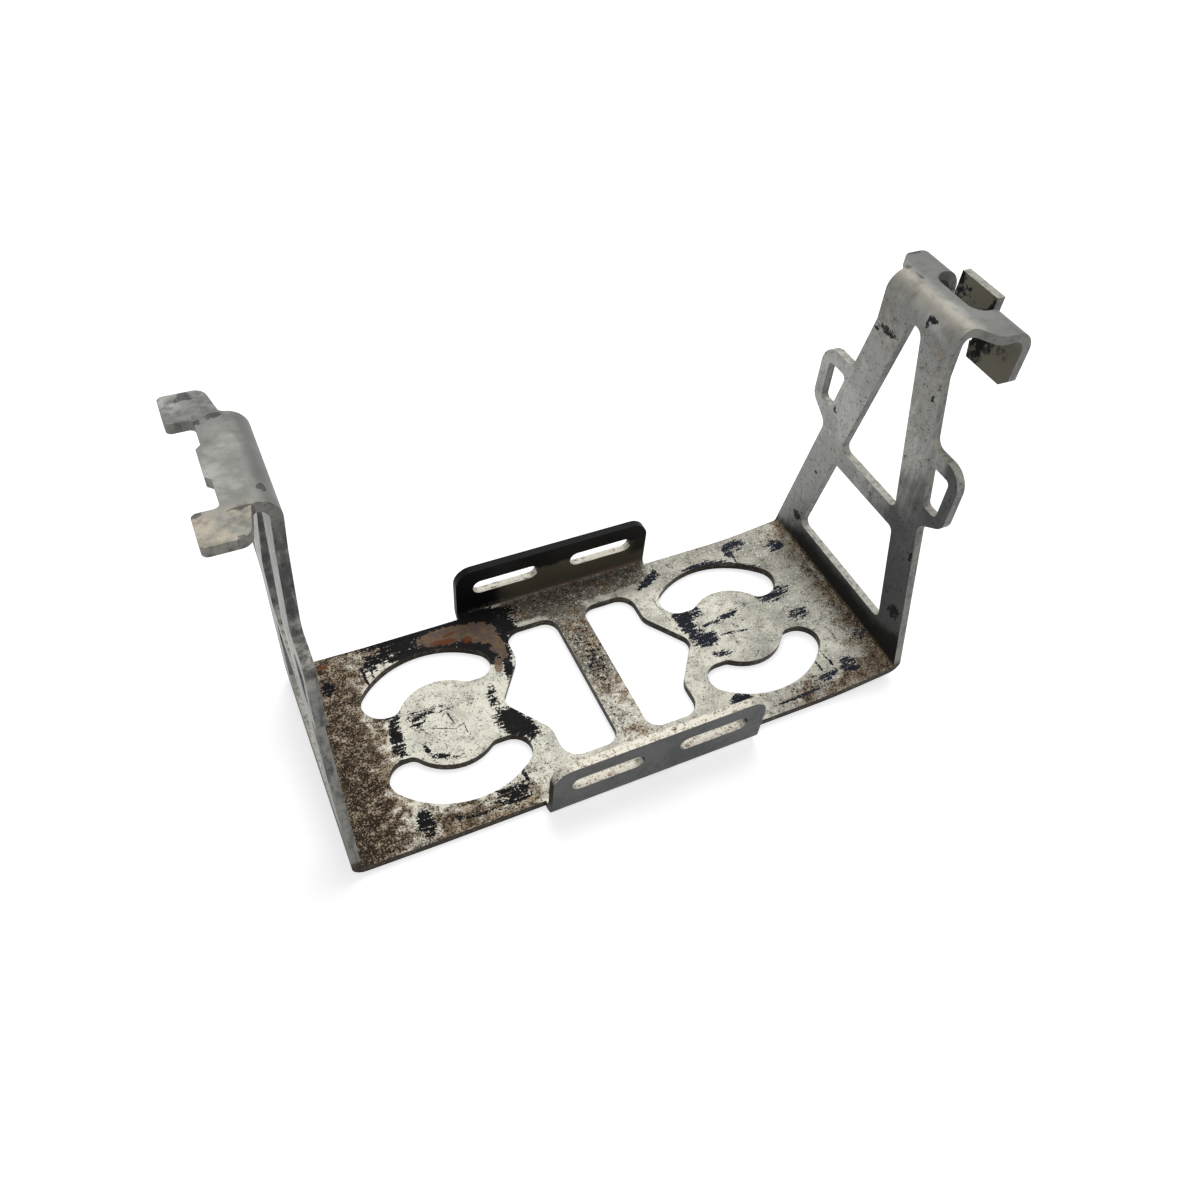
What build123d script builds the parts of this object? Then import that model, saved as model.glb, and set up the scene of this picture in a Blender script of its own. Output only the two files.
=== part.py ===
from build123d import *
import os
from math import radians, sin, tan

# A bracket folded from one blank of sheet steel: a pierced base plate, a slotted
# flange turned up along each long side, and a pierced upright at each end whose
# head is turned outwards. X runs along the base, Y across it and Z is up.
# The origin is under the middle of the plate. Lengths are in millimetres.

# Sheet
sheet = 2.0                     # thickness of the steel

# Base plate
plate_width = 54.8              # across the plate
inside_length = 132.4           # between the uprights at their feet
rise_length = 16.4              # length of the plate's ends, which turn gently upwards
hooked_end_rise = 2.0           # how far the end with the hooked head rises
plain_end_rise = 0.5            # and the other end
end_curve = 100.0               # radius of that gentle turn
base_bend = 1.0                 # inside radius where an upright leaves the plate

# Round pads and the kidney slots beside them
pad_place = 38.2                # centre of each pad from the middle of the plate
pad_radius = 11.6               # edge of the pad, the slots' inner arc
slot_radius = 21.2              # the slots' outer arc
outer_neck = 11.9               # width of metal that holds the pad on the upright's side
outer_slot_end = 4.9            # end radius of the kidney slots on that side
inner_neck = 17.5               # width of metal that holds the pad on the bar's side
inner_slot_end = 4.3            # end radius of the kidney slots on that side
neck_blend = 2.5                # radius where a neck runs into the pad

# Middle openings, one each side of the central bar
bar_width = 7.6                 # central bar
opening_width = 39.2            # across the plate
opening_side = 17.2             # far side of an opening from the middle of the plate
opening_shoulder = 21.4         # height of the straight ends of the far side's notch
opening_notch = 25.0            # where the notch's two sides would meet
bar_corner = 3.5                # corner radii of the opening
side_corner = 4.2
shoulder_corner = 4.5
notch_corner = 2.9

# Side flanges
flange_length = 51.6            # along X
flange_inside = 57.2            # between the two flanges
flange_height = 14.3            # above the plate
flange_bend = 1.0               # inside radius
flange_corner = 4.4             # radius of the flange's two top corners
mount_slot_length = 17.0        # end to end
mount_slot_width = 4.1
mount_slot_spacing = 25.8       # between the two slots' centres
mount_slot_height = 8.2         # slot centres above the plate

# Uprights
hooked_lean = 2.4               # lean of the upright with the hooked head, inwards, degrees
plain_lean = 3.9                # lean of the other upright, which starts only at its knee
knee_height = 57.0              # that knee above the plate
knee_bend = 60.0                # and its inside radius
upright_height = 88.4           # top of the head above the plate
head_width = 22.2               # upright where it meets its head
taper_height = 77.2             # above the plate, where the taper ends
leg_width = 8.2                 # each leg, measured level
lower_sill = 10.0               # bottom of the lower opening above the plate
waist_height = 36.3             # underside of the cross bar above the plate
waist_depth = 4.9               # cross bar from its bottom to its top
window_corner = 1.7             # corner radius of both openings
apex_radius = 2.2               # top of the upper opening

# Side loops on the uprights
loop_span = 49.6                # across both loops
loop_foot = 43.4                # where a loop's lower side leaves the leg, above the plate
loop_shoulder = 47.7            # where that side meets the loop's outer side
loop_top = 62.5                 # upper side
loop_lower_corner = 3.5
loop_upper_corner = 5.0
loop_root = 2.6                 # inside corners where a loop meets its leg
loop_hole_bottom = 48.6
loop_hole_top = 58.9
loop_hole_span = 44.0           # between the outer sides of the two holes
loop_hole_inset = 0.4           # hole's inner side outside the line of the leg's edge
loop_hole_corner = 1.2

# Heads
head_bend = 2.0                 # inside radius where a head leaves its upright

# Plain head, at the -X end: a flat shelf with two ears and a small tongue
ear_reach = 12.9                # beyond the upright's inner face
ear_span = 35.6                 # across both ears
ear_gap = 21.0                  # between the ears
ear_root = 4.4                  # where an ear's side leaves the shelf
ear_slant = 1.3                 # how far that side slants outwards
ear_corner = 1.0
ear_round = 2.2                 # corner of an ear on the upright's side
shelf_reach = 8.6               # shelf between the ears
tongue_reach = 9.5
tongue_width = 6.6
tongue_shoulder = 0.9           # sideways run of the tongue's sloping shoulders

# Hooked head, at the +X end: a shelf that turns down into a skirt, with a tab that stands
hook_reach = 15.5               # skirt's outer face beyond the upright's inner face
hook_span = 31.2                # across the skirt
hook_root = 3.8                 # where the shelf starts to widen
hook_flare = 3.2                # length of the widening
hook_blend = 2.4                # radius at both ends of the widening
skirt_bend = 3.0                # inside radius between shelf and skirt
skirt_depth = 13.9              # below the top of the head
skirt_corner = 2.0              # chamfer at the skirt's lower corners
notch_width = 14.4              # cut in the shelf round the tab
notch_reach = 7.3               # from the upright's inner face to the cut
notch_round = 3.2
tab_width = 10.8
tab_height = 0.8                # above the top of the head
pocket_width = 6.4              # small window in the skirt under the tab
pocket_top = 5.6                # below the top of the head
pocket_depth = 4.8

# Sizes that follow from those above
plate_top = sheet
top = plate_top + upright_height
skirt_outside = skirt_bend + sheet
head_start = upright_height - skirt_outside - base_bend
taper_start = hooked_end_rise + base_bend
taper = (plate_width - head_width) / 2 / (taper_height - taper_start)
beyond = upright_height + inside_length     # further than any part of the bracket
hard_corner = 0


def leg_edge(height):
    """Half width of an upright at a height above the plate."""
    return head_width / 2 + taper * (taper_height - height)


def inner_face(height, lean, lean_start):
    """Distance from the middle to an upright's inner face, above the height where it starts to lean."""
    return inside_length / 2 - (height - lean_start) * tan(radians(lean))


def rounded_line(corners, closed):
    """Draws straight runs through corners (across, up, radius) with an arc at each."""
    places = [Vector(across, up) for across, up, radius in corners]
    count = len(places)
    ends = []
    for index, (across, up, radius) in enumerate(corners):
        here = places[index]
        back = (places[index - 1] - here).normalized()
        ahead = (places[(index + 1) % count] - here).normalized()
        is_end = not closed and index in (0, count - 1)
        if radius == hard_corner or is_end:
            ends.append((here, here))
            continue
        half_angle = radians(back.get_angle(ahead)) / 2
        inwards = (back + ahead).normalized()
        setback = radius / tan(half_angle)
        start, end = here + back * setback, here + ahead * setback
        ThreePointArc(start, here + inwards * (radius / sin(half_angle) - radius), end)
        ends.append((start, end))
    for index in range(count if closed else count - 1):
        Line(ends[index][1], ends[(index + 1) % count][0])


def beside(points, distance):
    """The corners of a line that keeps a distance on the right of another."""
    runs = [(end - start).normalized() for start, end in zip(points, points[1:])]
    moved = []
    for point, arriving, leaving in zip(points, runs[:1] + runs, runs + runs[-1:]):
        right_of_arriving = Vector(arriving.Y, -arriving.X)
        right_of_leaving = Vector(leaving.Y, -leaving.X)
        middle = (right_of_arriving + right_of_leaving).normalized()
        moved.append(point + middle * (distance / middle.dot(right_of_arriving)))
    return moved


def folded(plane, corners, width):
    """Sheet folded along a line of corners in a plane that lies at mid width.

    The line is one side of the sheet and the metal lies on its right. A corner is
    (across, up, bend), and bend is the inside radius, negative for a turn right.
    """
    near = [Vector(across, up) for across, up, bend in corners]
    bends = [bend for across, up, bend in corners]
    near_radii = [bend if bend >= 0 else sheet - bend for bend in bends]
    far_radii = [bend + sheet if bend >= 0 else -bend for bend in bends]
    far = beside(near, sheet)
    with BuildPart() as strip:
        with BuildSketch(plane):
            with BuildLine():
                rounded_line([(p.X, p.Y, r) for p, r in zip(near, near_radii)], closed=False)
                rounded_line([(p.X, p.Y, r) for p, r in zip(far, far_radii)], closed=False)
                Line(near[0], far[0])
                Line(near[-1], far[-1])
            make_face()
        extrude(amount=width / 2, both=True)
    return strip.part


def block(plane, corners, start, end):
    """A prism from start to end along a plane's normal, on an outline of rounded corners."""
    with BuildPart() as prism:
        with BuildSketch(plane.offset(start)):
            with BuildLine():
                rounded_line(corners, closed=True)
            make_face()
        extrude(amount=end - start)
    return prism.part


def both_halves(half):
    """An outline from the half at its right, listed upwards, mirrored to the left."""
    return half + [(-across, up, radius) for across, up, radius in reversed(half)]


# Base plate

def kidney_slots():
    """The four curved slots round the two pads, as one cutter."""
    with BuildPart() as slots:
        with BuildSketch() as slot:
            with Locations((pad_place, 0)):
                Circle(slot_radius)
                Circle(pad_radius, mode=Mode.SUBTRACT)
            with Locations((pad_place + slot_radius, 0)):
                Rectangle(2 * slot_radius, outer_neck, mode=Mode.SUBTRACT)
            with Locations((pad_place - slot_radius, 0)):
                Rectangle(2 * slot_radius, inner_neck, mode=Mode.SUBTRACT)
            with Locations((pad_place, -slot_radius)):
                Rectangle(beyond, 2 * slot_radius, mode=Mode.SUBTRACT)
            # the corners from the bar outwards: the inner end, both blends and the outer end
            fillet(slot.vertices().sort_by(Axis.X)[-1], radius=outer_slot_end)
            fillet(slot.vertices().sort_by(Axis.X)[1:3], radius=neck_blend)
            fillet(slot.vertices().sort_by(Axis.X)[0], radius=inner_slot_end)
        extrude(amount=beyond, both=True)
        mirror(about=Plane.XZ)
        mirror(about=Plane.YZ)
    return slots.part


def middle_opening(side):
    """One opening beside the central bar, at +X for side 1 and at -X for side -1."""
    near, far = bar_width / 2, opening_side
    high, shoulder = opening_width / 2, opening_shoulder / 2
    upper = [
        (side * opening_notch, 0, notch_corner),
        (side * far, shoulder, shoulder_corner),
        (side * far, high, side_corner),
        (side * near, high, bar_corner),
    ]
    lower = [(across, -up, radius) for across, up, radius in reversed(upper[1:])]
    return block(Plane.XY, upper + lower, -beyond, beyond)


def flange():
    """The slotted flange turned up along the plate's -Y side."""
    inner = -flange_inside / 2
    rise = plate_top + flange_height
    corners = [(inner, rise, 0), (inner, plate_top, flange_bend), (-bar_width / 2, plate_top, 0)]
    # the line runs down the flange and then inwards, so its metal lies on the right
    strip = folded(Plane.YZ, corners, flange_length)
    half = flange_length / 2
    outline = both_halves([(half, -beyond, hard_corner), (half, rise, flange_corner)])
    strip &= block(Plane.XZ, outline, -beyond, beyond)
    with BuildPart() as slots:
        with BuildSketch(Plane.XZ):
            with Locations((0, plate_top + mount_slot_height)):
                with GridLocations(mount_slot_spacing, 0, 2, 1):
                    SlotOverall(mount_slot_length, mount_slot_width)
        extrude(amount=beyond)
    return strip - slots.part


# Uprights, drawn as seen along the base

def foot_and_upright(rise, lean, lean_start):
    """Half of the plate, up to its middle, with the upright that rises from its end."""
    line = [
        (0, plate_top, 0),
        (inside_length / 2 - rise_length, plate_top, end_curve),
        (inside_length / 2, plate_top + rise, base_bend),
    ]
    if lean_start > rise:
        line.append((inside_length / 2, plate_top + lean_start, knee_bend))
    line.append((inner_face(head_start, lean, lean_start), plate_top + head_start, 0))
    outline = both_halves([
        (plate_width / 2, -sheet, hard_corner),
        (plate_width / 2, plate_top + taper_start, hard_corner),
        (leg_edge(loop_foot), plate_top + loop_foot, loop_root),
        (loop_span / 2, plate_top + loop_shoulder, loop_lower_corner),
        (loop_span / 2, plate_top + loop_top, loop_upper_corner),
        (leg_edge(loop_top), plate_top + loop_top, loop_root),
        (head_width / 2, plate_top + taper_height, hard_corner),
        (head_width / 2, top, hard_corner),
    ])
    return folded(Plane.XZ, line, beyond) & block(Plane.YZ, outline, -sheet, beyond)


def upright_openings():
    """The two windows between the legs and the holes of both side loops."""
    upper_sill = waist_height + waist_depth
    apex = taper_height + (head_width / 2 - leg_width) / taper
    lower = both_halves([
        (leg_edge(lower_sill) - leg_width, plate_top + lower_sill, window_corner),
        (leg_edge(waist_height) - leg_width, plate_top + waist_height, window_corner),
    ])
    upper = [
        (leg_edge(upper_sill) - leg_width, plate_top + upper_sill, window_corner),
        (0, plate_top + apex, apex_radius),
        (leg_width - leg_edge(upper_sill), plate_top + upper_sill, window_corner),
    ]
    cutter = block(Plane.YZ, lower, -beyond, beyond) + block(Plane.YZ, upper, -beyond, beyond)
    bottom, ceiling = plate_top + loop_hole_bottom, plate_top + loop_hole_top
    for side in (-1, 1):
        hole = [
            (side * (leg_edge(loop_hole_bottom) + loop_hole_inset), bottom, loop_hole_corner),
            (side * loop_hole_span / 2, bottom, loop_hole_corner),
            (side * loop_hole_span / 2, ceiling, loop_hole_corner),
            (side * (leg_edge(loop_hole_top) + loop_hole_inset), ceiling, loop_hole_corner),
        ]
        cutter += block(Plane.YZ, hole, -beyond, beyond)
    return cutter


# Heads, each made at the +X end and drawn from above with Y across and X upwards

head_plan = Plane(origin=(0, 0, top), x_dir=(0, 1, 0), z_dir=(0, 0, -1))


def head_line(lean, lean_start):
    """The top of an upright's inner face and the corner where its head turns outwards."""
    return [
        (inner_face(head_start, lean, lean_start), plate_top + head_start, 0),
        (inner_face(upright_height, lean, lean_start), top, -head_bend),
    ]


def plain_head():
    """A flat shelf with an ear at each side and a small tongue between them."""
    head_face = inner_face(upright_height, plain_lean, knee_height)
    outline = both_halves([
        (head_width / 2, 0, hard_corner),
        (head_width / 2, head_face + ear_root, ear_corner),
        (ear_span / 2, head_face + ear_root + ear_slant, ear_round),
        (ear_span / 2, head_face + ear_reach, ear_corner),
        (ear_gap / 2, head_face + ear_reach, ear_corner),
        (ear_gap / 2, head_face + shelf_reach, ear_corner),
        (tongue_width / 2 + tongue_shoulder, head_face + shelf_reach, hard_corner),
        (tongue_width / 2, head_face + tongue_reach, hard_corner),
    ])
    line = head_line(plain_lean, knee_height) + [(head_face + ear_reach, top, 0)]
    strip = folded(Plane.XZ, line, beyond)
    return strip & block(head_plan, outline, -sheet, beyond)


def hooked_head():
    """A shelf that widens and turns down into a skirt, with a tab that stands up from it."""
    head_face = inner_face(upright_height, hooked_lean, hooked_end_rise)
    outside = head_face + hook_reach
    hem = top - skirt_depth
    line = head_line(hooked_lean, hooked_end_rise)
    line += [(outside, top, -skirt_bend), (outside, hem, 0)]
    plan = both_halves([
        (head_width / 2, 0, hard_corner),
        (head_width / 2, head_face + hook_root, hook_blend),
        (hook_span / 2, head_face + hook_root + hook_flare, hook_blend),
        (hook_span / 2, outside + sheet, hard_corner),
    ])
    front = both_halves([
        (hook_span / 2 - skirt_corner, hem, hard_corner),
        (hook_span / 2, hem + skirt_corner, hard_corner),
        (hook_span / 2, top + sheet, hard_corner),
    ])
    notch = both_halves([
        (notch_width / 2, head_face + notch_reach, notch_round),
        (notch_width / 2, outside + sheet, hard_corner),
    ])
    shell = folded(Plane.XZ, line, beyond) & block(head_plan, plan, -sheet, beyond)
    shell &= block(Plane.YZ, front, 0, beyond)
    shell -= block(head_plan, notch, -sheet, skirt_outside)
    tab_bottom = top - skirt_outside
    tab = both_halves([
        (tab_width / 2, tab_bottom, hard_corner),
        (tab_width / 2, top + tab_height, hard_corner),
    ])
    pocket = both_halves([
        (pocket_width / 2, top - pocket_top - pocket_depth, hard_corner),
        (pocket_width / 2, top - pocket_top, hard_corner),
    ])
    shell += block(Plane.YZ, tab, outside - sheet, outside)
    return shell - block(Plane.YZ, pocket, outside - 2 * sheet, outside + sheet)


# The whole bracket

bracket = foot_and_upright(hooked_end_rise, hooked_lean, hooked_end_rise) + hooked_head()
bracket += mirror(foot_and_upright(plain_end_rise, plain_lean, knee_height) + plain_head(), about=Plane.YZ)
bracket += flange()
bracket += mirror(flange(), about=Plane.XZ)
bracket -= kidney_slots()
for side in (-1, 1):
    bracket -= middle_opening(side)
bracket -= upright_openings()

os.makedirs("parts", exist_ok=True)
bracket.label = "bracket"
export_step(bracket, "parts/bracket.step")
print("solids", len(bracket.solids()), "volume", round(bracket.volume), "mm3")
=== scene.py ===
import math

import bmesh
import bpy
import numpy as np
from mathutils import Matrix, Vector
from mathutils.bvhtree import BVHTree


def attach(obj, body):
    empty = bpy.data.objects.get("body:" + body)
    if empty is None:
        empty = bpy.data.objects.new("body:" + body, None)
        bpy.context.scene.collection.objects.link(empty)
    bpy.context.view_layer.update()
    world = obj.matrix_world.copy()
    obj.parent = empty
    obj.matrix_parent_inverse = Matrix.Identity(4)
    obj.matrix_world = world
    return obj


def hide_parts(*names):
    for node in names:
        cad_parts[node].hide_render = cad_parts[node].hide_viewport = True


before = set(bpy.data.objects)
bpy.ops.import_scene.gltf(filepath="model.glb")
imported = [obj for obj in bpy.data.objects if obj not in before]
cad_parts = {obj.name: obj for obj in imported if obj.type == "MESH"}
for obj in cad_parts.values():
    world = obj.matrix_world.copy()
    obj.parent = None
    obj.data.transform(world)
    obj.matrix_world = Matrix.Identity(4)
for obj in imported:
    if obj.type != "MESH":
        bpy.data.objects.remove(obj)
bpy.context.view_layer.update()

scene = bpy.context.scene
scene.view_settings.view_transform = "Standard"
millimetre = 0.001


# one socket of a node tree; Python's operators on it add Math nodes
class Wire:
    def __init__(self, paint, socket):
        self.paint = paint
        self.socket = socket

    def __add__(self, other):
        return self.paint.math("ADD", self, other)

    def __sub__(self, other):
        return self.paint.math("SUBTRACT", self, other)

    def __rsub__(self, other):
        return self.paint.math("SUBTRACT", other, self)

    def __mul__(self, other):
        return self.paint.math("MULTIPLY", self, other)

    def __truediv__(self, other):
        return self.paint.math("DIVIDE", self, other)

    def __rtruediv__(self, other):
        return self.paint.math("DIVIDE", other, self)

    def __neg__(self):
        return self * -1.0

    def __abs__(self):
        return self.paint.math("ABSOLUTE", self)

    __radd__ = __add__
    __rmul__ = __mul__

    def most(self, other):
        return self.paint.math("MAXIMUM", self, other)

    # 0 at low and 1 at high with an S curve between; low may be the larger, which turns it round
    def rise(self, low, high):
        return self.paint.node("ShaderNodeMapRange", {"interpolation_type": "SMOOTHSTEP"},
                               {"Value": self, "From Min": low, "From Max": high})


# a node tree, with one method for every kind of node
class Paint:
    def __init__(self, owner):
        self.owner = owner
        if hasattr(owner, "use_nodes"):
            owner.use_nodes = True
        self.tree = getattr(owner, "node_tree", owner)
        self.tree.nodes.clear()

    def node(self, kind, settings=None, values=None, output=0):
        made = self.tree.nodes.new(kind)
        for name, setting in (settings or {}).items():
            setattr(made, name, setting)
        for name, value in (values or {}).items():
            if isinstance(value, Wire):
                self.tree.links.new(value.socket, made.inputs[name])
            else:
                made.inputs[name].default_value = value
        return Wire(self, made.outputs[output]) if made.outputs else None

    def math(self, operation, *values):
        return self.node("ShaderNodeMath", {"operation": operation}, dict(enumerate(values)))

    def blend(self, low, high, amount):
        return self.node("ShaderNodeMix", {"data_type": "RGBA", "clamp_factor": True},
                         {0: amount, 6: low, 7: high}, output=2)

    # 1 for the rays that see the backdrop: those of the camera, and those that metal and glass send on
    def seenWhite(self):
        camera, glossy, through = (self.node("ShaderNodeLightPath", output="Is %s Ray" % kind)
                                   for kind in ("Camera", "Glossy", "Transmission"))
        return camera.most(glossy).most(through)

    def noise(self, place, size, detail=4.0, roughness=0.6, stretch=(1, 1, 1), shift=(0, 0, 0)):
        scale = tuple(part / size for part in stretch)
        scaled = self.node("ShaderNodeMapping", {"vector_type": "POINT"},
                           {"Vector": place, "Location": shift, "Scale": scale})
        return self.node("ShaderNodeTexNoise", {"noise_dimensions": "3D"},
                         {"Vector": scaled, "Scale": 1.0, "Detail": detail, "Roughness": roughness})


# camera, from the place and the turn that give the viewing angle
viewer = dict(
    place=(-0.07456, -0.12554, 0.19472), azimuth=-29.962, elevation=48.872, roll=6.391,
    lens=30.169, sensor=36.0, nearest=0.005,
)

lens = bpy.data.cameras.new("viewer")
lens.lens = viewer["lens"]
lens.sensor_width = viewer["sensor"]
lens.clip_start = viewer["nearest"]
camera = bpy.data.objects.new("viewer", lens)
scene.collection.objects.link(camera)
camera.matrix_world = (
    Matrix.Translation(viewer["place"])
    @ Matrix.Rotation(math.radians(viewer["azimuth"]), 4, "Z")
    @ Matrix.Rotation(math.radians(90 - viewer["elevation"]), 4, "X")
    @ Matrix.Rotation(math.radians(viewer["roll"]), 4, "Z")
)
scene.camera = camera
print("camera placed")

# studio: white floor, one large soft lamp behind and above, a weaker one in front
studio = dict(
    floorSize=6.0, floorColour=(0.84, 0.84, 0.87, 1), floorGlow=0.60,
    keyPlace=(0.34, 0.50, 0.92), keySize=0.95, keyPower=6.3,
    fillPlace=(-0.90, -0.30, 0.85), fillSize=0.9, fillPower=1.2,
    sky=0.32, backdrop=1.0,
)


def softLamp(name, place, size, power):
    lamp = bpy.data.lights.new(name, "AREA")
    lamp.shape = "DISK"
    lamp.size = size
    lamp.energy = power
    holder = bpy.data.objects.new(name, lamp)
    scene.collection.objects.link(holder)
    holder.location = place
    holder.rotation_euler = Vector(place).to_track_quat("Z", "Y").to_euler()


softLamp("keyLamp", studio["keyPlace"], studio["keySize"], studio["keyPower"])
softLamp("fillLamp", studio["fillPlace"], studio["fillSize"], studio["fillPower"])

scene.world = bpy.data.worlds.new("studioSky")
sky = Paint(scene.world)
seen = sky.seenWhite()
skyLevel = sky.node("ShaderNodeMapRange", None,
                    {"Value": seen, "To Min": studio["sky"], "To Max": studio["backdrop"]})
skyLight = sky.node("ShaderNodeBackground", None, {"Color": (1, 1, 1, 1), "Strength": skyLevel})
sky.node("ShaderNodeOutputWorld", None, {"Surface": skyLight})

floorMesh = bpy.data.meshes.new("floor")
half = studio["floorSize"] / 2
floorCorners = [(-half, -half, 0), (half, -half, 0), (half, half, 0), (-half, half, 0)]
floorMesh.from_pydata(floorCorners, [], [(0, 1, 2, 3)])
floor = bpy.data.objects.new("floor", floorMesh)
scene.collection.objects.link(floor)
floorPaint = Paint(bpy.data.materials.new("paleFloor"))
seen = floorPaint.seenWhite()
floorSurface = floorPaint.node("ShaderNodeBsdfDiffuse", None, {"Color": studio["floorColour"]})
floorGlow = floorPaint.node("ShaderNodeEmission", None, {"Strength": seen * studio["floorGlow"]})
floorBoth = floorPaint.node("ShaderNodeAddShader", None, {0: floorSurface, 1: floorGlow})
floorPaint.node("ShaderNodeOutputMaterial", None, {"Surface": floorBoth})
floorMesh.materials.append(floorPaint.owner)
print("studio ready")

# the bracket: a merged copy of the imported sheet, its cut edges marked and slightly broken;
# lengths are in millimetres and angles in degrees
sheetMetal = dict(
    thickness=2.0, thicker=1.25, justUnder=0.02, mergeWithin=0.001, dissolve=0.8,
    edgeBreak=0.28, breakSteps=2, smoothAngle=35,
)


def mergedCopy(node, name):
    copied = bmesh.new()
    copied.from_mesh(node.data)
    bmesh.ops.remove_doubles(copied, verts=copied.verts, dist=sheetMetal["mergeWithin"] * millimetre)
    bmesh.ops.dissolve_limit(copied, angle_limit=math.radians(sheetMetal["dissolve"]),
                             verts=copied.verts, edges=copied.edges)
    mesh = bpy.data.meshes.new(name)
    copied.to_mesh(mesh)
    copied.free()
    return mesh


# a face is a cut edge where the metal straight behind its largest triangle is thicker than the sheet
def markCutEdges(mesh):
    mesh.calc_loop_triangles()
    tree = BVHTree.FromPolygons([vertex.co for vertex in mesh.vertices],
                                [list(triangle.vertices) for triangle in mesh.loop_triangles])
    justUnder = sheetMetal["justUnder"] * millimetre
    deepest = sheetMetal["thicker"] * sheetMetal["thickness"] * millimetre
    largest = {}
    for triangle in mesh.loop_triangles:
        rival = largest.get(triangle.polygon_index)
        if triangle.area > (rival.area if rival else 0):
            largest[triangle.polygon_index] = triangle
    cut = np.zeros(len(mesh.polygons), np.float32)
    for index, triangle in largest.items():
        middle = sum((mesh.vertices[corner].co for corner in triangle.vertices), Vector()) / 3
        depth = tree.ray_cast(middle - triangle.normal * justUnder, -triangle.normal)[3]
        cut[index] = depth is None or depth > deepest
    mesh.attributes.new("cutEdge", "FLOAT", "FACE").data.foreach_set("value", cut)


bracketMesh = mergedCopy(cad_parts["bracket"], "steelBracket")
markCutEdges(bracketMesh)
bracketMesh.polygons.foreach_set("use_smooth", np.ones(len(bracketMesh.polygons), bool))
bracketMesh.set_sharp_from_angle(angle=math.radians(sheetMetal["smoothAngle"]))
bracket = bpy.data.objects.new("steelBracket", bracketMesh)
scene.collection.objects.link(bracket)
breaker = bracket.modifiers.new("edgeBreak", "BEVEL")
breaker.width = sheetMetal["edgeBreak"] * millimetre
breaker.segments = sheetMetal["breakSteps"]
breaker.limit_method = "ANGLE"
breaker.angle_limit = math.radians(sheetMetal["smoothAngle"])
breaker.harden_normals = True
breaker.use_clamp_overlap = True
print("bracket copied", len(bracketMesh.polygons), "faces")


# a colour written from 0 to 255, taken through the sRGB curve
def tint(red, green, blue):
    parts = [part / 255 for part in (red, green, blue)]
    return tuple(part / 12.92 if part <= 0.04045 else ((part + 0.055) / 1.055) ** 2.4 for part in parts) + (1,)


# worn steel: its colours, then what is the same all over it, with the pits' depth in millimetres
wornSteel = dict(
    cream=tint(215, 212, 198), zinc=tint(170, 167, 156), dullZinc=tint(104, 99, 88),
    greenZinc=tint(150, 150, 140), fleck=tint(240, 237, 226), tan=tint(133, 113, 87),
    brownGrime=tint(88, 68, 48), darkGrime=tint(28, 22, 17), soot=tint(15, 15, 19),
    inkBlue=tint(34, 38, 52), rust=tint(116, 60, 34), oldRust=tint(112, 95, 87),
    nearFlangeShadeGrey=tint(108, 108, 107), nearFlangeShadeDark=tint(90, 91, 92), flangeSoot=tint(20, 19, 20),
    flangeOlive=tint(92, 88, 74), uprightGrey=tint(170, 171, 166), uprightPale=tint(202, 203, 197),
    slate=tint(50, 54, 57), footBlack=tint(22, 22, 20), upCutHighlight=tint(184, 181, 170),
    cutSide=tint(146, 145, 139), cutShadeDark=tint(56, 50, 44), cutHighlightCream=tint(224, 219, 205),
    headPale=tint(163, 157, 145), headGrey=tint(143, 143, 139), shelfGrey=tint(112, 112, 110),
    earCream=tint(204, 192, 172), tabOlive=tint(128, 123, 110),
    metallic=0.25, roughness=0.46, roughSpread=0.16, specular=0.08,
    pitDepth=0.06, pitStrength=0.5,
)

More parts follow.
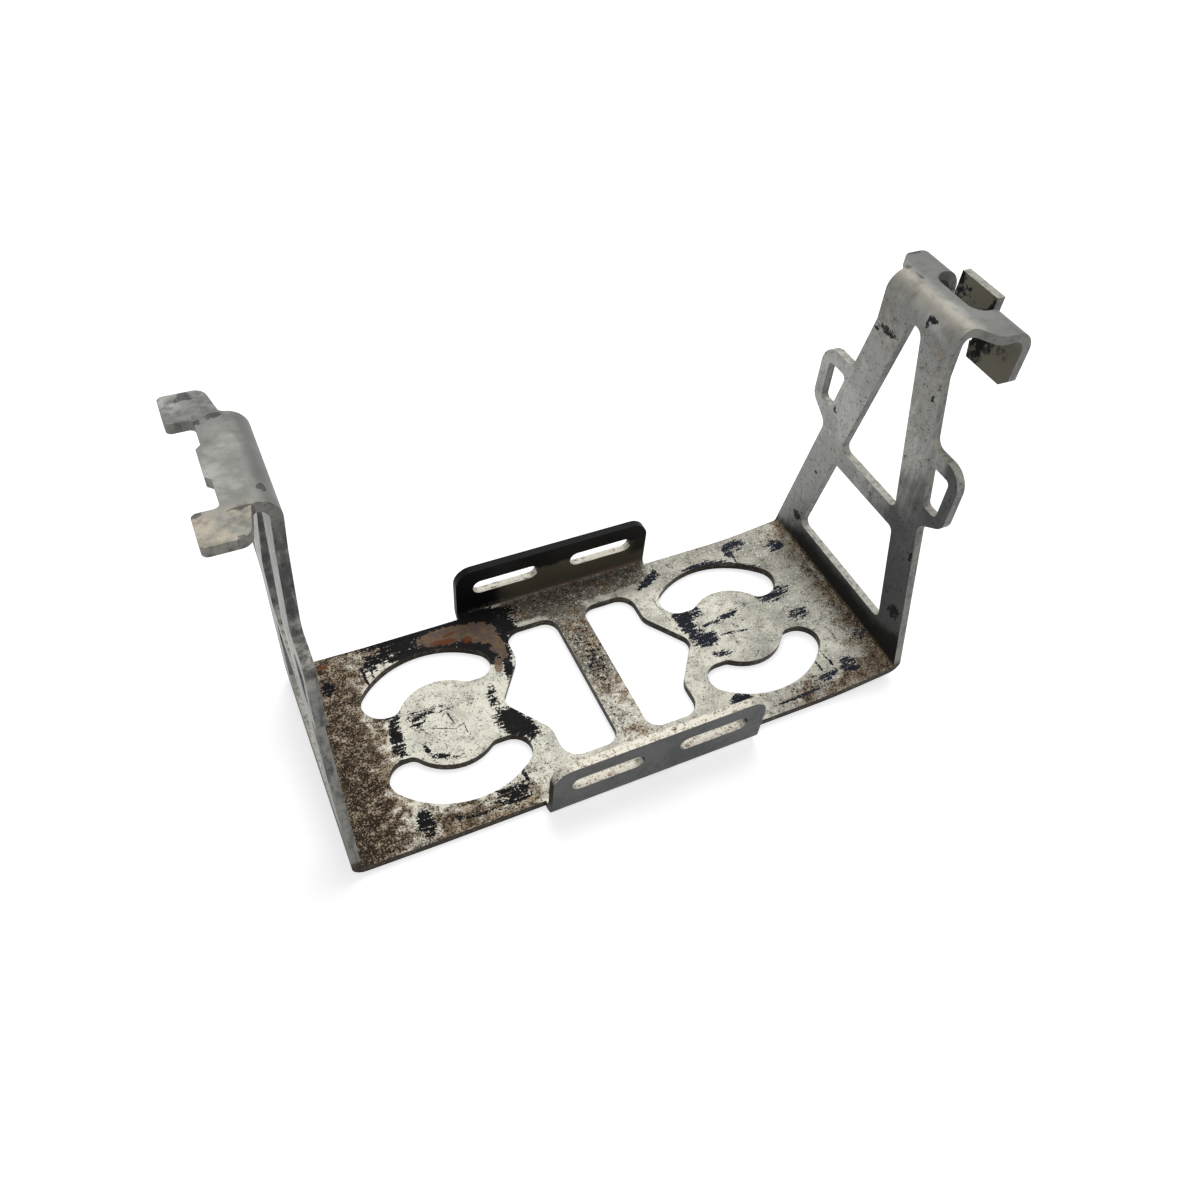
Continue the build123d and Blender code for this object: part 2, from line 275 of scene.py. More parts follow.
# dark marks on the plate: x and y of the middle, both half lengths, turn in degrees, strength;
# lengths here and in all the lists of marks are in millimetres
sootMarks = dict(
    leftNeckWeave=(-50.2, 0.3, 1.5, 6.2, -6, 0.9), leftNeckTop=(-48.6, 6.0, 0.9, 2.2, -30, 0.6),
    leftPadNear=(-26.6, -5.0, 2.2, 3.0, 35, 0.4), leftNeckBlot=(-24.0, -6.6, 2.5, 4.2, 28, 1.5),
    leftNeckSmear=(-26.4, 2.6, 1.2, 3.4, -10, 0.55), leftPadSpot=(-45.3, -5.3, 0.7, 1.1, 0, 0.9),
    leftPadRim=(-42.0, -8.6, 4.5, 0.9, -25, 0.5), leftPadSmear=(-45.0, 2.5, 1.7, 3.6, 10, 0.45),
    leftPadSmearTwo=(-40.5, 4.0, 4.5, 1.1, -4, 0.4),
    nearBlot=(-51.0, -22.4, 1.5, 2.6, 0, 1.2), nearStreak=(-31.5, -23.2, 5.0, 2.6, 4, 0.7),
    nearStreakTwo=(-40.0, -24.6, 8.0, 0.8, -6, 0.5), nearEdgeSpeck=(-27.2, -19.8, 0.8, 2.6, 0, 0.6),
    farSquare=(-49.6, 22.2, 2.6, 2.6, 0, 0.75), farSquareLeg=(-52.0, 19.6, 0.35, 4.6, 0, 0.8),
    farSquareLegTwo=(-50.1, 19.4, 0.3, 3.4, 0, 0.7), farCorner=(-60.6, 18.4, 1.5, 3.0, 10, 0.8),
    farBandStart=(-41.5, 24.4, 6.0, 2.9, 2, 1.1), farBand=(-33.0, 26.6, 13.5, 1.3, -2, 1.7),
    slotRim=(-37.0, 21.4, 9.8, 1.1, -3, 1.3), slotRimEnd=(-26.6, 18.6, 4.8, 1.4, -42, 1.5),
    neckInk=(-22.4, 15.0, 2.4, 4.0, 30, 1.5), neckInkRim=(-19.2, 12.0, 1.0, 6.4, -14, 1.4),
    stainRim=(-27.6, 23.0, 10.6, 4.2, -7, 1.5), stainRimEnd=(-21.6, 19.2, 5.4, 4.6, -40, 1.5),
    farHook=(-16.6, 22.6, 1.9, 5.0, 18, 1.6), farHookTop=(-20.4, 26.4, 6.4, 1.6, -8, 1.6),
    barMiddle=(0.4, 3.6, 3.6, 14.0, 0, 0.16), barTop=(1.6, 10.0, 1.6, 9.0, 0, 0.12),
    rightNeckBlock=(26.4, 5.6, 1.7, 4.6, 4, 1.25), rightNeckTeeth=(28.6, 7.6, 3.1, 2.3, 0, 1),
    rightNeckLow=(28.6, -0.9, 3.1, 2.5, -8, 1.1), rightNeckLink=(26.6, 2.4, 1.4, 1.9, 0, 0.95),
    rightWisp=(35.6, 3.4, 6.7, 0.9, 9, 0.75), rightWispTwo=(36.8, -1.7, 5, 0.5, -6, 0.55),
    rightPadNear=(30.4, -6.6, 2.9, 1.1, -16, 0.7), rightTopStreak=(23.6, 21.4, 3.6, 1.1, 24, 1.05),
    rightTopSpot=(26.6, 23.4, 1.1, 1.4, 0, 0.85), rightFarBlot=(48.6, 23.2, 1.1, 1.8, 0, 1.1),
    rightFarBlotTwo=(51.8, 24.2, 3.4, 1.7, -8, 0.9), rightFarLine=(49.2, 20.8, 0.25, 3.6, 0, 0.95),
    rightFarSpot=(61.2, 19.4, 2.2, 1.8, 10, 1.1), rightOuterTop=(52.4, 5.3, 4.3, 2, -6, 0.95),
    rightOuterLow=(54.6, -3.0, 2.9, 2.8, 0, 0.6), rightSlotTop=(40.4, 21.0, 5.3, 0.96, -5, 1.25),
    rightSlotTopEnd=(49.0, 18.0, 6.7, 0.5, -32, 0.95), rightNearEdge=(27.8, -20.4, 2.2, 1.7, -10, 1.25),
    rightNearBlot=(57.6, -21.8, 1.7, 2.4, 14, 1.05), rightNearBlotTwo=(50.8, -22.6, 2.6, 0.96, 5, 0.95),
    rightNearStreak=(42.0, -24.9, 7.2, 0.4, 2, 0.95), rightNearLine=(53.6, -19.4, 0.3, 4.1, 4, 0.75),
    rightNearLineTwo=(50.6, -19.0, 0.25, 3.6, 4, 0.65), rightEndSpot=(65.0, -15.4, 1.9, 1.9, 0, 0.75),
)

# fine scratches on the two pads, in the same terms
scratches = dict(
    padLong=(-40.2, -1.4, 3.9, 0.16, -24, 0.7), padUpper=(-37.6, 3.2, 2.5, 0.18, 4, 0.8),
    padDown=(-37.6, 0.6, 0.17, 2.6, 14, 0.7), padHook=(-35.2, -3.4, 0.16, 1.8, 4, 0.7),
    padShort=(-43.2, 2.0, 2.2, 0.15, 52, 0.6), padCross=(-41.8, 3.9, 3.4, 0.16, -10, 0.6),
    padArc=(-44.2, -0.4, 0.16, 2.2, 24, 0.6), padFork=(-38.8, 1.8, 0.14, 1.5, -38, 0.7),
    padEdge=(-36.2, -2.2, 1.6, 0.13, 22, 0.6),
    rightFine=(31.8, 9.0, 0.13, 6.0, -58, 0.4), rightFineTwo=(22.6, 12.0, 0.14, 9.0, 6, 0.5),
    rightOuterFine=(58.6, -12.0, 0.14, 6.0, 5, 0.45), leftFine=(-52.1, 10.5, 0.13, 5.0, 1, 0.5),
)

# the rust-brown stain at the far side, and the brighter rust on it
stainMarks = dict(
    upper=(-29.4, 23.4, 7.6, 2.3, -6, 1.1), bend=(-22.8, 21.6, 4.2, 2.9, -30, 1.1),
    tail=(-20.0, 16.8, 1.6, 4.4, 6, 1.1), neck=(-22.0, 10.6, 1.0, 2.6, -20, 0.8),
)
rustMarks = dict(
    streak=(-31.6, 22.0, 2.8, 0.8, -8, 1.0), spotOne=(-26.2, 20.6, 1.3, 1.1, 0, 0.8),
    spotTwo=(-29.6, 23.8, 2.4, 0.5, 10, 0.6), farCorner=(-60.0, 25.0, 2.0, 0.8, 0, 0.4),
)

# marks on the uprights, with their height and its half length at the end
uprightMarks = dict(
    farTop=(64.0, 7.0, 3.0, 3.2, 0, 0.9, 78.6, 0.9), farTopTwo=(64.0, 10.4, 3.0, 1.2, 0, 0.8, 77.4, 0.5),
    headHook=(63.6, -3.4, 3.0, 1.0, 0, 1.2, 87.8, 0.5), headHookLeg=(63.6, -2.7, 3.0, 0.4, 0, 1.2, 86.9, 1.2),
    nearTop=(63.6, -10.4, 3.0, 0.5, 0, 0.8, 74.0, 0.9), nearScratch=(65.0, -19.8, 3.0, 0.4, 0, 0.9, 36.4, 1.5),
    nearLow=(66.0, -21.1, 3.0, 2.2, 0, 0.7, 18.7, 2.6), farLow=(66.0, 19.5, 3.0, 1.8, 0, 0.8, 13.2, 1.5),
    farDot=(65.5, 16.8, 3.0, 0.5, 0, 0.9, 30.9, 0.5), farLoopRoot=(65.0, 16.1, 3.0, 1.0, 0, 0.45, 51.3, 1.4),
    barDot=(65.0, -2.0, 3.0, 1.0, 0, 0.35, 40.6, 0.8),
)

# marks on top of the two heads
headMarks = dict(
    nearEarRoot=(-69.6, -11.5, 2.4, 0.35, 0, 0.8), nearEarBend=(-66.0, -11.8, 1.2, 0.8, 0, 0.9),
    nearEarCorner=(-71.0, -18.4, 0.9, 1.4, 20, 0.9), nearEarInner=(-76.3, -10.8, 0.8, 1.2, 0, 0.9),
    nearEarOuter=(-75.0, -18.6, 2.2, 0.7, 0, 0.7), farEarRoot=(-69.6, 10.4, 1.2, 0.8, 0, 0.85),
    farEarInner=(-73.6, 9.0, 2.2, 0.9, 20, 0.6), farEarOuter=(-72.8, 16.4, 1.6, 2.0, 0, 0.25),
    bendSpot=(-66.2, -7.6, 0.6, 0.9, 0, 0.8), hookedNotch=(66.8, 11.2, 0.8, 0.8, 0, 0.9),
    hookedFar=(67.2, 7.0, 0.5, 1.6, 0, 0.6), hookedFarEdge=(71.5, 15.2, 2.0, 0.5, 0, 0.8),
)

# noises, each about 0.5 on average, with their sizes in millimetres
noises = dict(
    broad=dict(size=11.0, detail=3.0),
    blotch=dict(size=4.0, detail=5.0, shift=(7, 3, 1)),
    grain=dict(size=1.1, roughness=0.65, shift=(2, 5, 9)),
    fine=dict(size=0.36, detail=2.0, shift=(4, 1, 6)),
    streakX=dict(size=1.0, stretch=(0.22, 1.5, 1.0), shift=(1, 8, 2)),
    streakZ=dict(size=1.6, stretch=(1.0, 1.2, 0.12), shift=(3, 2, 8)),
    cloud=dict(size=2.4, detail=5.0, stretch=(0.8, 1.0, 1.0), shift=(9, 9, 4)),
)

steel = Paint(bpy.data.materials.new("wornSteel"))
objectPlace = steel.node("ShaderNodeTexCoord", output="Object")
place = steel.node("ShaderNodeVectorMath", {"operation": "SCALE"}, {0: objectPlace, "Scale": 1 / millimetre})
x, y, z = (steel.node("ShaderNodeSeparateXYZ", None, {0: place}, output=axis) for axis in "XYZ")
facing = steel.node("ShaderNodeNewGeometry", output="True Normal")
facingX, facingZ = (steel.node("ShaderNodeSeparateXYZ", None, {0: facing}, output=axis) for axis in "XZ")
cut = steel.node("ShaderNodeAttribute", {"attribute_name": "cutEdge"}, output="Fac").rise(0.3, 0.7)
broad, blotch, grain, fine, streakX, streakZ = (
    steel.noise(place, **noises[name]) for name in ("broad", "blotch", "grain", "fine", "streakX", "streakZ"))

# how far a noise pushes the marks about, and how ragged it makes the edges of each kind
ragged = dict(pushX=1.6, pushY=0.7, grain=2.2, streak=3.6, fine=2.2, softGrain=3.0, softBlotch=2.0,
              stainGrain=2.4, scratch=2.6)
wavyX = (blotch - 0.5) * ragged["pushX"] + x
wavyY = (grain - 0.5) * ragged["pushY"] + y
raggedMark = (grain - 0.5) * ragged["grain"] + (streakX - 0.5) * ragged["streak"] + (fine - 0.5) * ragged["fine"]
softMark = (grain - 0.5) * ragged["softGrain"] + (blotch - 0.5) * ragged["softBlotch"]
grainMark = (grain - 0.5) * ragged["stainGrain"]
fineMark = (fine + grain - 1.0) * ragged["scratch"]

# a mark: 1 inside a turned ellipsoid; the ragged value breaks it up, and the more so the lower its strength
markEdge = dict(fade=0.75, outside=0.02, inside=0.30)
markGroup = bpy.data.node_groups.new("mark", "ShaderNodeTree")
markSockets = ("Ragged", "Across", "Along", "Up", "Centre Across", "Centre Along", "Centre Up",
               "Half Across", "Half Along", "Half Up", "Cosine", "Sine", "Strength")
for socketName in markSockets:
    markGroup.interface.new_socket(socketName, in_out="INPUT", socket_type="NodeSocketFloat")
markGroup.interface.new_socket("Amount", in_out="OUTPUT", socket_type="NodeSocketFloat")
inMark = Paint(markGroup)
given = {socketName: inMark.node("NodeGroupInput", output=socketName) for socketName in markSockets}
offAcross = given["Across"] - given["Centre Across"]
offAlong = given["Along"] - given["Centre Along"]
offUp = (given["Up"] - given["Centre Up"]) / given["Half Up"]
turnedAcross = (offAcross * given["Cosine"] + offAlong * given["Sine"]) / given["Half Across"]
turnedAlong = (offAlong * given["Cosine"] - offAcross * given["Sine"]) / given["Half Along"]
farOut = turnedAcross * turnedAcross + turnedAlong * turnedAlong + offUp * offUp
cover = given["Ragged"] + given["Strength"] - farOut * markEdge["fade"]
inMark.node("NodeGroupOutput", None, {"Amount": cover.rise(markEdge["outside"], markEdge["inside"])})


# height and halfHeight suit the plate, where most marks are
def spot(mark, edge, height=2.0, halfHeight=3.0):
    across, along, halfAcross, halfAlong, turn, strength = mark
    return steel.node("ShaderNodeGroup", {"node_tree": markGroup}, {
        "Ragged": edge, "Across": wavyX, "Along": wavyY, "Up": z,
        "Centre Across": across, "Centre Along": along, "Centre Up": height,
        "Half Across": halfAcross, "Half Along": halfAlong, "Half Up": halfHeight,
        "Cosine": math.cos(math.radians(turn)), "Sine": math.sin(math.radians(turn)), "Strength": strength})


# the largest of many values, taken one by one as they are made, which keeps the shader small
def together(wires):
    total = None
    for wire in wires:
        total = wire if total is None else total.most(wire)
    return total


# one of the steel's colours laid over what is there
def laid(under, name, amount):
    return steel.blend(under, wornSteel[name], amount)


# regions: the two places, in millimetres, between which each goes from outside to inside
zones = dict(
    plate=(6.2, 4.9), upright=(4.6, 6.0), uprightSide=(60.5, 62.0), head=(84.5, 87.0), hooked=(-1.0, 1.0),
    flange=(28.0, 28.5), flangeFoot=(1.2, 2.6), flangeEnd=(27.0, 26.3),
)


def flangeAt(outwards):
    return outwards.rise(*zones["flange"]) * z.rise(*zones["flangeFoot"]) * abs(x).rise(*zones["flangeEnd"])


onPlate = z.rise(*zones["plate"])
onUpright = z.rise(*zones["upright"]) * abs(x).rise(*zones["uprightSide"])
nearFlange = flangeAt(-y)
farFlange = flangeAt(y)
hooked = x.rise(*zones["hooked"])
onHead = z.rise(*zones["head"])

# plate: zinc from cream to dull grey, with tan clouds and dark specks that thicken towards its ends;
# a pair is where a layer starts and where it is full, and cover is how much it hides
plateWear = dict(
    pale=(0.36, 0.58), paleFade=0.0010, green=(0.0, 0.26), greenCover=0.6,
    bandSide=(20.6, 21.6), bandStart=(-17.0, -12.0), bandEnd=(27.0, 24.0), dull=(0.36, 0.80),
    tan=(0.14, 0.62), tanGrime=0.90, tanCover=0.88, brown=(0.26, 0.66), brownGrime=0.56, brownCover=0.70,
    dark=(0.584, 0.620), darkGrime=0.12, darkCover=0.85,
    fleck=(0.075, 0.15), fleckCover=0.62, fleckLostInTan=0.34, cutDull=(0.70, 0.95),
)
palePart = (broad * 0.5 + blotch * 0.5 + (grain - 0.5) * 0.45 - x * plateWear["paleFade"]).rise(*plateWear["pale"])
plateColour = steel.blend(wornSteel["zinc"], wornSteel["cream"], palePart)
cloud = steel.noise(place, **noises["cloud"]) - 0.5  # about 0 on average, unlike the others
greenPart = (cloud + (grain - 0.5) * 0.6).rise(*plateWear["green"])
plateColour = laid(plateColour, "greenZinc", greenPart * plateWear["greenCover"])
# a band along the far flange darkened with dull zinc: painted shade
farBand = ((y + cloud * 2.4 - x * 0.03).rise(*plateWear["bandSide"])
           * (x + cloud * 6.0).rise(*plateWear["bandStart"]) * x.rise(*plateWear["bandEnd"]))
# dull zinc, partly the plate's own duller tone and partly painted shade along the far flange
dullAndShadePart = together([
    farBand,
    abs(x).rise(6.4, 4.4) * (y + cloud * 18.0).rise(-14.0, 2.0) * 0.94,  # the bar
    x.rise(56.0, 66.0) * 0.45,  # the hooked head's end
    (y + x * 0.2).rise(18.0, 26.0) * 0.40,  # the far side
])
plateColour = laid(plateColour, "dullZinc", dullAndShadePart * (blotch + grain * 0.6).rise(*plateWear["dull"]))
endGrime = together([
    (-x + cloud * 9.0 + y * 0.08).rise(47.0, 60.0) * (y * -0.004 + 0.92),  # the plain head's end
    x.rise(56.0, 70.0) * (y * -0.006 + 0.72),  # the hooked head's end
    (-y).rise(14.0, 25.0) * x.rise(-14.0, -34.0) * 0.62,  # three corners of the plate
    y.rise(18.0, 26.0) * x.rise(-30.0, -44.0) * 0.70,
    (-y).rise(17.0, 26.0) * x.rise(26.0, 44.0) * 0.55,
    abs(x).rise(5.6, 2.6) * 0.30,  # the bar
    # the band along the far flange, where tan and brown also go over its painted shade
    farBand * 0.24,
])
tanMix = endGrime * plateWear["tanGrime"] + (broad - 0.5) * 1.2 + cloud * 1.3 + (grain - 0.5) * 0.2
tanPart = tanMix.rise(*plateWear["tan"])
plateColour = laid(plateColour, "tan", tanPart * plateWear["tanCover"])
brownMix = endGrime * plateWear["brownGrime"] + (blotch - 0.5) * 1.5 + cloud * 1.1 + (grain - 0.5) * 0.25
brownPart = brownMix.rise(*plateWear["brown"])
plateColour = laid(plateColour, "brownGrime", brownPart * plateWear["brownCover"])
darkMix = endGrime * plateWear["darkGrime"] + cloud * 0.22 + grain * 0.26 + fine * 0.74
darkPart = darkMix.rise(*plateWear["dark"])
plateColour = laid(plateColour, "darkGrime", darkPart * plateWear["darkCover"])
fleckPart = ((fine - 0.5) * -0.85 - (grain - 0.5) * 0.45 - cloud * 0.12).rise(*plateWear["fleck"])
fleckCover = plateWear["fleckCover"] - tanPart * plateWear["fleckLostInTan"]
plateColour = laid(plateColour, "fleck", fleckPart * fleckCover)

# black and blue marks, then the rust-brown stain at the far side, then scratches
markWear = dict(
    ink=(-0.3, 1.0), inkTowardsX=0.02, textured=(0.06, 0.30), sootCover=0.985,
    tanInStain=(0.40, 0.72), stainCover=0.95, rustCover=0.8,
)
sooty = together(spot(mark, raggedMark) for mark in sootMarks.values())
inkPart = (x * markWear["inkTowardsX"] + (blotch - 0.5) * 2.0).rise(*markWear["ink"])
sootColour = steel.blend(wornSteel["soot"], wornSteel["inkBlue"], inkPart)
sooty = sooty * ((streakX - 0.5) * 1.2 + fine + x * -0.003).rise(*markWear["textured"])
plateColour = steel.blend(plateColour, sootColour, sooty * markWear["sootCover"])
stain = together(spot(mark, grainMark) for mark in stainMarks.values())
stainColour = steel.blend(wornSteel["oldRust"], wornSteel["tan"], (grain + cloud).rise(*markWear["tanInStain"]))
plateColour = steel.blend(plateColour, stainColour, stain * markWear["stainCover"])
rusty = together(spot(mark, grainMark) for mark in rustMarks.values())
plateColour = laid(plateColour, "rust", rusty * markWear["rustCover"])
scratched = together(spot(mark, fineMark) for mark in scratches.values())
plateColour = laid(plateColour, "slate", scratched)
# the plate's cut walls, dark brown-grey: partly their own colour and partly painted shade
cutDull = (grain + blotch * 0.5).rise(*plateWear["cutDull"])
plateCut = steel.blend(wornSteel["cutShadeDark"], wornSteel["dullZinc"], cutDull)
plateColour = steel.blend(plateColour, plateCut, cut)

# near flange: smooth grey painted darker than the plate, as painted shade on a face turned from the lamp, with a
# painted highlight on its top cut edge
nearWear = dict(
    dark=(0.60, 0.88), specks=(1.30, 1.42), specksCover=0.6, faceUp=(0.2, 0.5), faceAside=(0.3, 0.1),
    tanOnCut=(0.78, 0.95), specksOnCut=(0.63, 0.69), cutCover=0.8,
)
nearDark = (broad + grain * 0.4).rise(*nearWear["dark"])
nearColour = steel.blend(wornSteel["nearFlangeShadeGrey"], wornSteel["nearFlangeShadeDark"], nearDark)
nearColour = laid(nearColour, "darkGrime", (fine + grain).rise(*nearWear["specks"]) * nearWear["specksCover"])
# cut faces turned up get a painted highlight in cream, with real tan and dark specks on it
upperCut = cut * facingZ.rise(*nearWear["faceUp"])
cutTan = (grain * 0.7 + fine * 0.6 + streakX * 0.3).rise(*nearWear["tanOnCut"])
grimyCutHighlight = steel.blend(wornSteel["cutHighlightCream"], wornSteel["tan"], cutTan * nearWear["cutCover"])
cutSpecks = (grain * 0.5 + fine * 0.6).rise(*nearWear["specksOnCut"])
grimyCutHighlight = laid(grimyCutHighlight, "darkGrime", cutSpecks * nearWear["cutCover"])
# cut faces turned aside are painted dark: painted shade
nearColour = laid(nearColour, "cutShadeDark", cut * facingZ.rise(*nearWear["faceAside"]))
nearColour = steel.blend(nearColour, grimyCutHighlight, upperCut)
plateColour = steel.blend(plateColour, nearColour, nearFlange)

# far flange: sooty round an olive middle, with a painted highlight on the floor of its slots and a rusty crease
farWear = dict(
    cutSoot=0.85, slotFloorHighlight=(13.0, 11.0), slotFloorEnd=(-24.0, -22.0), floorBright=(0.36, 0.50), floorCover=0.9,
    crease=(3.9, 3.3), creaseRust=(0.46, 0.60), creaseEnd=(-24.0, -16.0), creaseCover=0.9,
    tan=(1.12, 1.24), tanCover=0.5,
)
sootyFlange = together([
    (z + (blotch - 0.5) * 3.0).rise(10.0, 11.6) * 0.95,  # the upper edge
    (-x + (blotch - 0.5) * 5.0).rise(11.0, 17.0),  # the end at -X
    (x + (blotch - 0.5) * 2.0).rise(19.5, 23.0) * z.rise(5.0, 8.0) * 0.85,  # the end at +X
])
farColour = steel.blend(wornSteel["flangeOlive"], wornSteel["flangeSoot"], sootyFlange)
farColour = laid(farColour, "soot", cut * farWear["cutSoot"])
slotFloorHighlight = upperCut * z.rise(*farWear["slotFloorHighlight"]) * x.rise(*farWear["slotFloorEnd"])
floorBright = (grain * 0.5 + streakX * 0.5).rise(*farWear["floorBright"])
farColour = laid(farColour, "cutHighlightCream", slotFloorHighlight * floorBright * farWear["floorCover"])
creaseRust = (grain * 0.6 + fine * 0.5 + x * 0.003).rise(*farWear["creaseRust"])
crease = z.rise(*farWear["crease"]) * creaseRust * x.rise(*farWear["creaseEnd"])
farColour = laid(farColour, "oldRust", crease * farWear["creaseCover"])
farColour = laid(farColour, "tan", (fine + grain).rise(*farWear["tan"]) * (1 - sootyFlange) * farWear["tanCover"])
plateColour = steel.blend(plateColour, farColour, farFlange)

# uprights: smooth grey with a painted sheen along the middle of each leg and painted shade just below the bends,
# slate low down, black at the foot
legWear = dict(
    sheenFrom=(30.0, 46.0), sheenTo=(72.0, 58.0), pale=(0.72, 0.98), streaks=(0.80, 1.10), streaksCover=0.30,
    shadeBelowBend=(74.0, 86.0), shadeBelowBendCover=0.50, tan=(0.08, 0.40), tanCover=0.34,
    slate=(52.0, 24.0), slateCover=0.88, nearEdge=(18.0, 22.0), foot=(12.6, 8.6), footCover=0.90,
    specks=(0.618, 0.655), specksCover=0.80, fleck=(0.08, 0.19), fleckCover=0.5, sootCover=0.95,
)
# the middle of each leg, where a painted sheen lies
middle = ((z + cloud * 30.0 - y * 0.2).rise(*legWear["sheenFrom"])
          * (z + cloud * 30.0).rise(*legWear["sheenTo"]))
# pale grey at random, and more of it in the painted sheen
legPaleAndSheen = (broad * 0.8 + streakZ * 0.5 + cloud * 0.3 + middle * 0.22).rise(*legWear["pale"])
legColour = steel.blend(wornSteel["uprightGrey"], wornSteel["uprightPale"], legPaleAndSheen)
legStreaks = (streakZ + blotch * 0.5 + cloud * 0.4).rise(*legWear["streaks"])
legColour = laid(legColour, "slate", legStreaks * legWear["streaksCover"])
# darker grey high on the legs, just below the bends: painted shade
shadeBelowBend = (z + cloud * 12.0).rise(*legWear["shadeBelowBend"])
legColour = laid(legColour, "shelfGrey", shadeBelowBend * legWear["shadeBelowBendCover"])
legTan = (cloud + (broad - 0.5) * 1.4 + (z - 60.0) * 0.006).rise(*legWear["tan"])
legColour = laid(legColour, "tan", legTan * legWear["tanCover"])
nearEdge = (-y).rise(*legWear["nearEdge"])
slateHeight = z + (broad - 0.5) * 22.0 + (streakZ - 0.5) * 14.0 + y * 1.25 + nearEdge * -14.0
lowSlate = slateHeight.rise(*legWear["slate"]) * (0.30 + hooked * 0.60)
legColour = laid(legColour, "slate", lowSlate * legWear["slateCover"])
footHeight = z + (blotch - 0.5) * 4.0 + y.rise(14.0, 27.0) * 4.6 + (-y).rise(15.0, 28.0) * -4.0
legColour = laid(legColour, "footBlack", footHeight.rise(*legWear["foot"]) * legWear["footCover"])
legSpecks = (grain * 0.36 + fine * 0.54 + streakX * 0.20 + cloud * 0.12).rise(*legWear["specks"])
legColour = laid(legColour, "inkBlue", legSpecks * legWear["specksCover"])
legFleck = ((fine - 0.5) * -0.7 - (grain - 0.5) * 0.6).rise(*legWear["fleck"])
legColour = laid(legColour, "uprightPale", legFleck * (1 - lowSlate) * legWear["fleckCover"])

# their cut edges, with a painted highlight where they face up, and darker on the plain head's upright
cutWear = dict(
    faceUp=(0.1, 0.5), paleCover=0.9, streaks=(0.70, 1.00), streaksCover=0.5,
    plain=(0.1, 0.9), plainTop=(90.0, 80.0), plainCover=0.72, specks=(0.585, 0.65), specksCover=0.7,
    legCover=0.96, headCover=0.7,
)
# cut faces turned up are paler: painted highlight
upCutHighlight = facingZ.rise(*cutWear["faceUp"]) * cutWear["paleCover"]
legCut = steel.blend(wornSteel["cutSide"], wornSteel["upCutHighlight"], upCutHighlight)
legCut = laid(legCut, "slate", (streakZ + grain * 0.6).rise(*cutWear["streaks"]) * cutWear["streaksCover"])
plainMix = (streakZ - 0.5) * 2.0 + cloud * 1.8 + (z - 44.0) * 0.013 + 0.36
plainCut = (1 - hooked) * plainMix.rise(*cutWear["plain"]) * z.rise(*cutWear["plainTop"])
legCut = laid(legCut, "slate", plainCut * cutWear["plainCover"])
legCut = laid(legCut, "darkGrime", (fine * 0.6 + grain * 0.4).rise(*cutWear["specks"]) * cutWear["specksCover"])
legColour = steel.blend(legColour, legCut, cut * cutWear["legCover"])

# heads: grey shelves, a painted highlight along the hooked head's bend, a warm near ear on the plain one and
# painted shade along the plain one's bend
headWear = dict(
    pale=(0.60, 0.86), paleCover=0.6, bandFrom=(62.4, 64.4), bandTo=(67.6, 65.6), bendHighlightCover=0.7,
    hookedShelf=(66.5, 69.0), hookedGrey=(0.3, 0.8), hookedCover=0.75,
    nearEar=(9.5, 12.5), plainShelf=(62.0, 66.0), warm=(1.02, 0.52), warmCover=0.9,
    clouds=(0.62, 0.90), cloudsCover=0.46, farEar=(11.0, 14.0), farGrey=(0.30, 0.66), farCover=0.75,
    specks=(0.62, 0.71), specksCover=0.6, plainBendShade=(-68.4, -66.2), plainBendEnd=(-50.0, -60.0), bendShadeCover=0.7,
    markHeight=90.4, markHalfHeight=6.0, markCover=0.66,
)
headPale = (broad + grain * 0.3).rise(*headWear["pale"])
headColour = steel.blend(wornSteel["headGrey"], wornSteel["uprightPale"], headPale * headWear["paleCover"])
# the pale band along the hooked head's bend is a painted highlight
bandPlace = (grain - 0.5) * 2.2 + (streakX - 0.5) * 1.0 + x
bendHighlight = bandPlace.rise(*headWear["bandFrom"]) * bandPlace.rise(*headWear["bandTo"])
hookedGrey = x.rise(*headWear["hookedShelf"]) * (cloud + 0.9).rise(*headWear["hookedGrey"])
headColour = laid(headColour, "shelfGrey", hookedGrey * headWear["hookedCover"])
headColour = laid(headColour, "headPale", bendHighlight * headWear["bendHighlightCover"])
warmEar = (-y + (blotch - 0.5) * 3.0).rise(*headWear["nearEar"]) * (-x).rise(*headWear["plainShelf"])
warmEar = warmEar * (blotch + grain * 0.5).rise(*headWear["warm"])
headColour = laid(headColour, "earCream", warmEar * headWear["warmCover"])
earClouds = (abs(y) - 12.0).rise(-4.0, 4.0) * x.rise(-60.0, -66.0) * 0.08
headClouds = (cloud + 0.5 + grain * 0.3 + earClouds).rise(*headWear["clouds"])
headColour = laid(headColour, "flangeOlive", headClouds * headWear["cloudsCover"])
farEar = (y + blotch * 6.0).rise(*headWear["farEar"]) * (-x).rise(*headWear["plainShelf"])
farEar = farEar * (grain + cloud).rise(*headWear["farGrey"])
headColour = laid(headColour, "shelfGrey", farEar * headWear["farCover"])
headSpecks = (grain * 0.6 + fine * 0.4).rise(*headWear["specks"])
headColour = laid(headColour, "darkGrime", headSpecks * headWear["specksCover"])
# darker grey along the plain head's bend: painted shade
plainBendShade = (x + cloud * 2.0).rise(*headWear["plainBendShade"]) * x.rise(*headWear["plainBendEnd"])
headColour = laid(headColour, "shelfGrey", plainBendShade * headWear["bendShadeCover"])
headSoot = together(spot(mark, softMark, headWear["markHeight"], headWear["markHalfHeight"])
                    for mark in headMarks.values())
headColour = laid(headColour, "slate", headSoot * headWear["markCover"])
headColour = steel.blend(headColour, legCut, cut * cutWear["headCover"])
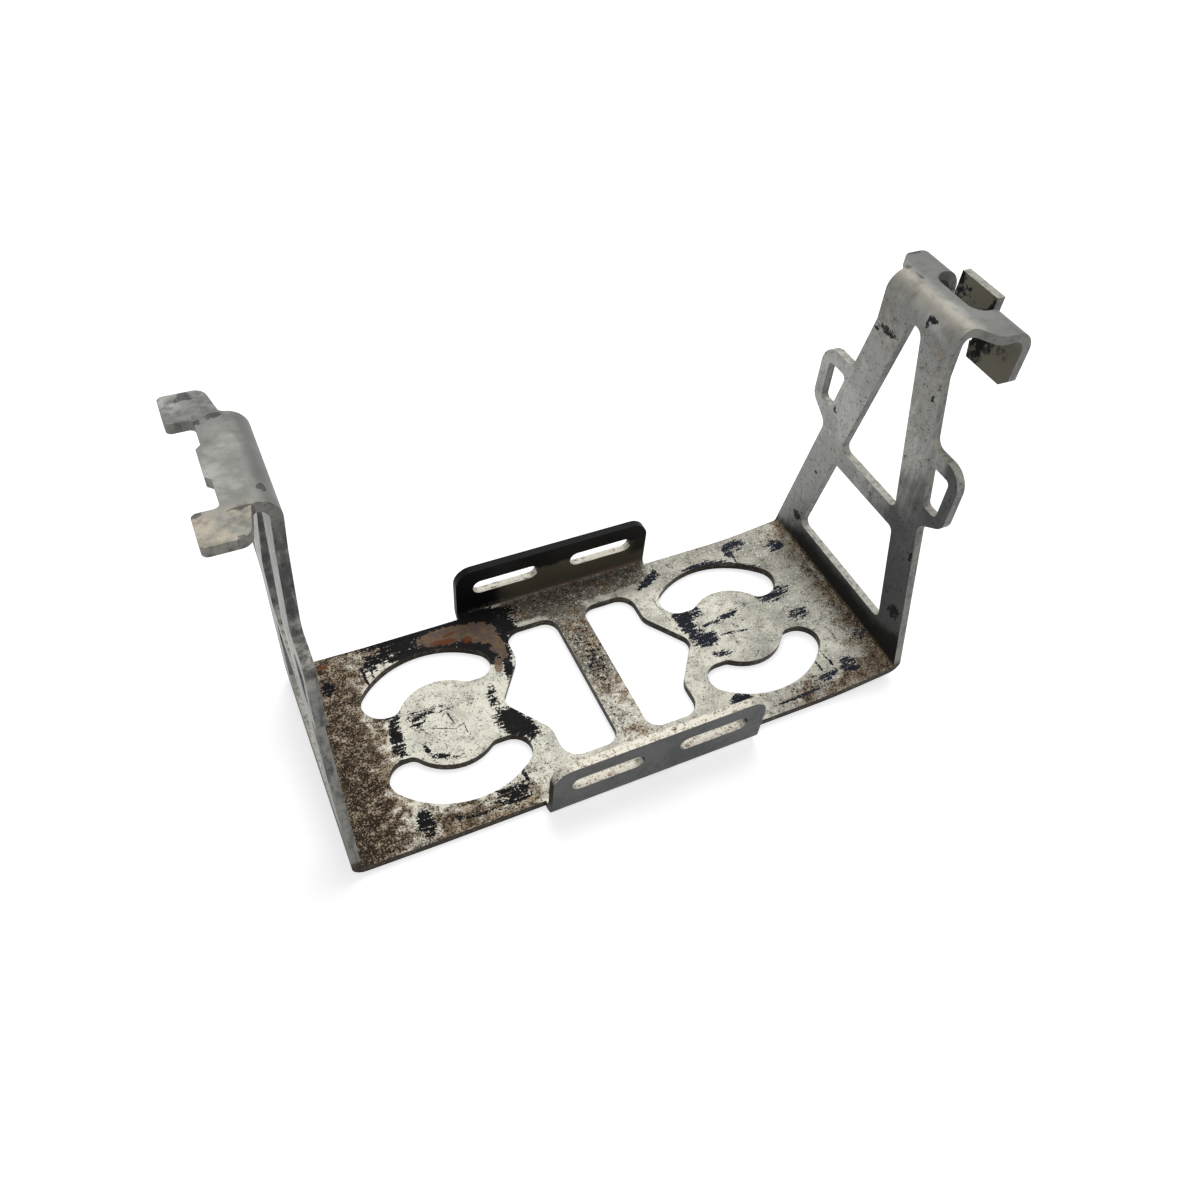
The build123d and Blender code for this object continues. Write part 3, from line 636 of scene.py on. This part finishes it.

# the side of the skirt and the tab that faces the upright, dark inside: partly soot and partly painted shade in
# that recess
behindWear = dict(
    start=(72.5, 74.0), faceBack=(0.4, 0.8), soot=(0.60, 0.80), tabShadeAndSoot=(0.80, 0.98), tabEdge=(-1.0, 2.0),
    tabFoot=(84.8, 86.4), tabSide=(5.9, 5.5),
)
behind = x.rise(*behindWear["start"]) * (-facingX).rise(*behindWear["faceBack"])
behindShadeAndSoot = (blotch + grain * 0.4 + (y + 9.0) * 0.026 + (z - 84.0) * 0.02).rise(*behindWear["soot"])
behindColour = steel.blend(wornSteel["tabOlive"], wornSteel["flangeSoot"], behindShadeAndSoot)
tabEdge = (abs(y) - 3.4).rise(*behindWear["tabEdge"])
tabShadeAndSoot = (blotch + grain * 0.6 + tabEdge * 0.22).rise(*behindWear["tabShadeAndSoot"])
tabColour = steel.blend(wornSteel["tabOlive"], wornSteel["flangeSoot"], tabShadeAndSoot)
onTab = z.rise(*behindWear["tabFoot"]) * abs(y).rise(*behindWear["tabSide"])
behindColour = steel.blend(behindColour, tabColour, onTab)
headColour = steel.blend(headColour, behindColour, behind * (1 - cut))
legColour = steel.blend(legColour, behindColour, behind * (1 - cut))
legColour = steel.blend(legColour, headColour, onHead)
legSoot = together(spot(mark[:6], fineMark, *mark[6:]) for mark in uprightMarks.values())
legColour = laid(legColour, "soot", legSoot * legWear["sootCover"])

# what is dirty shines less than the bare metal
finish = dict(brownDirt=0.6, dirtRoughness=0.24, pitFine=0.4, pitGrain=0.6)
colour = steel.blend(plateColour, legColour, onUpright)
dirty = together([sooty, brownPart * finish["brownDirt"], darkPart]) * onPlate
roughness = (grain - 0.5) * wornSteel["roughSpread"] + dirty * finish["dirtRoughness"] + wornSteel["roughness"]
metallic = (1 - dirty) * wornSteel["metallic"]
pits = steel.node("ShaderNodeBump", None, {
    "Height": fine * finish["pitFine"] + grain * finish["pitGrain"],
    "Strength": wornSteel["pitStrength"], "Distance": wornSteel["pitDepth"] * millimetre})
surface = steel.node("ShaderNodeBsdfPrincipled", None, {
    "Base Color": colour, "Metallic": metallic, "Roughness": roughness, "Normal": pits,
    "Specular IOR Level": wornSteel["specular"]})
steel.node("ShaderNodeOutputMaterial", None, {"Surface": surface})
bracketMesh.materials.append(steel.owner)
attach(bracket, "root")
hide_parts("bracket")
print("steel painted")
